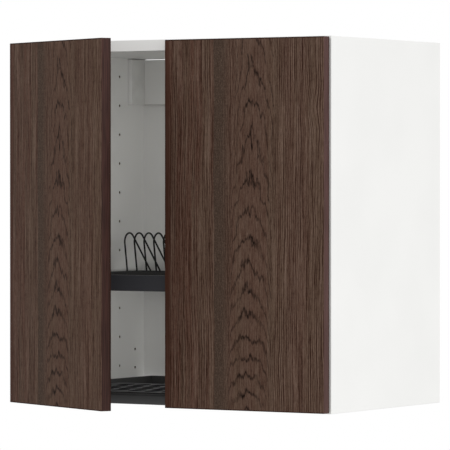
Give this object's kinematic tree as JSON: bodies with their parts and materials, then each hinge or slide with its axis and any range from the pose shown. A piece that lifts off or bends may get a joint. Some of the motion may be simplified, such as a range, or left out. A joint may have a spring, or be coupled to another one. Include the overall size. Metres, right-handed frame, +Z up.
{
  "type": "wall cabinet",
  "caption": "Square kitchen wall cabinet, two flat overlay doors on concealed hinges, wire plate rack and drip tray in place of a shelf and a bottom.",
  "frame": {"origin": "middle of the top panel's rear edge, on the wall plane", "axes": "+X to the right as seen from the front, +Y towards the wall, +Z up"},
  "size_m": [0.6038, 0.5153, 0.6],
  "materials": {
    "white_board": "white melamine, satin",
    "white_plastic": "white, satin",
    "hardboard": "white lacquered, satin",
    "brown_veneer": "brown stained veneer, clear satin lacquer",
    "hinge_steel": "nickel plated",
    "bracket_steel": "zinc plated",
    "clear_pad": "translucent, smooth",
    "anthracite_metal": "anthracite powder coat",
    "anthracite_plastic": "anthracite, matt",
    "black_wire": "black coated wire"
  },
  "bodies": {
    "carcass": {"back_panel": "hardboard", "back_rail": "white_board", "bracket_cover_left": "white_plastic", "bracket_cover_right": "white_plastic", "hinge_arm_left_lower": "hinge_steel", "hinge_arm_left_upper": "hinge_steel", "hinge_arm_right_lower": "hinge_steel", "hinge_arm_right_upper": "hinge_steel", "hinge_plate_left_lower": "hinge_steel", "hinge_plate_left_upper": "hinge_steel", "hinge_plate_right_lower": "hinge_steel", "hinge_plate_right_upper": "hinge_steel", "rack_bracket_left": "anthracite_plastic", "rack_bracket_right": "anthracite_plastic", "rack_front_rail": "anthracite_metal", "rack_rear_rail": "anthracite_metal", "side_panel_left": "white_board", "side_panel_right": "white_board", "suspension_bracket_left": "bracket_steel", "suspension_bracket_right": "bracket_steel", "top_panel": "white_board", "tray_bracket_left": "anthracite_plastic", "tray_bracket_right": "anthracite_plastic"},
    "left_hinge_links": {"hinge_link_left_lower": "hinge_steel", "hinge_link_left_upper": "hinge_steel"},
    "left_door": {"door_bumper_left_lower": "clear_pad", "door_bumper_left_upper": "clear_pad", "door_left": "brown_veneer", "hinge_cup_left_lower": "hinge_steel", "hinge_cup_left_upper": "hinge_steel"},
    "right_hinge_links": {"hinge_link_right_lower": "hinge_steel", "hinge_link_right_upper": "hinge_steel"},
    "right_door": {"door_bumper_right_lower": "clear_pad", "door_bumper_right_upper": "clear_pad", "door_right": "brown_veneer", "hinge_cup_right_lower": "hinge_steel", "hinge_cup_right_upper": "hinge_steel"},
    "plate_rack": {"plate_rack": "black_wire"},
    "drip_tray": {"drip_tray": "anthracite_plastic"},
    "tray_insert": {"tray_insert": "anthracite_plastic"}
  },
  "joints": [
    {"name": "left_links_swing", "type": "hinge", "parent": "carcass", "child": "left_hinge_links", "pos_m": [-0.2673, -0.3744, 0], "axis": [0, 0, 1], "range_deg": [-16.78, 42.5]},
    {"name": "left_door_swing", "type": "hinge", "parent": "left_hinge_links", "child": "left_door", "pos_m": [-0.28672, -0.37716, 0], "axis": [0, 0, -1], "range_deg": [-42.48, 108.4]},
    {"name": "right_links_swing", "type": "hinge", "parent": "carcass", "child": "right_hinge_links", "pos_m": [0.2673, -0.3744, 0], "axis": [0, 0, -1], "range_deg": [-0.2, 59.08]},
    {"name": "right_door_swing", "type": "hinge", "parent": "right_hinge_links", "child": "right_door", "pos_m": [0.2867, -0.3715, 0], "axis": [0, 0, 1], "range_deg": [0, 150.88]},
    {"name": "plate_rack_lift", "type": "slide", "parent": "carcass", "child": "plate_rack", "axis": [0, 0, 1], "range_m": [0, 0.15]},
    {"name": "drip_tray_lift", "type": "slide", "parent": "carcass", "child": "drip_tray", "axis": [0, 0, 1], "range_m": [0, 0.035]},
    {"name": "tray_insert_lift", "type": "slide", "parent": "drip_tray", "child": "tray_insert", "axis": [0, 0, 1], "range_m": [0, 0.03]}
  ],
  "couplings": [
    {"joint": "left_links_swing", "follows": "left_door_swing", "ratio": 0.39024},
    {"joint": "right_links_swing", "follows": "right_door_swing", "ratio": 0.39024}
  ]
}
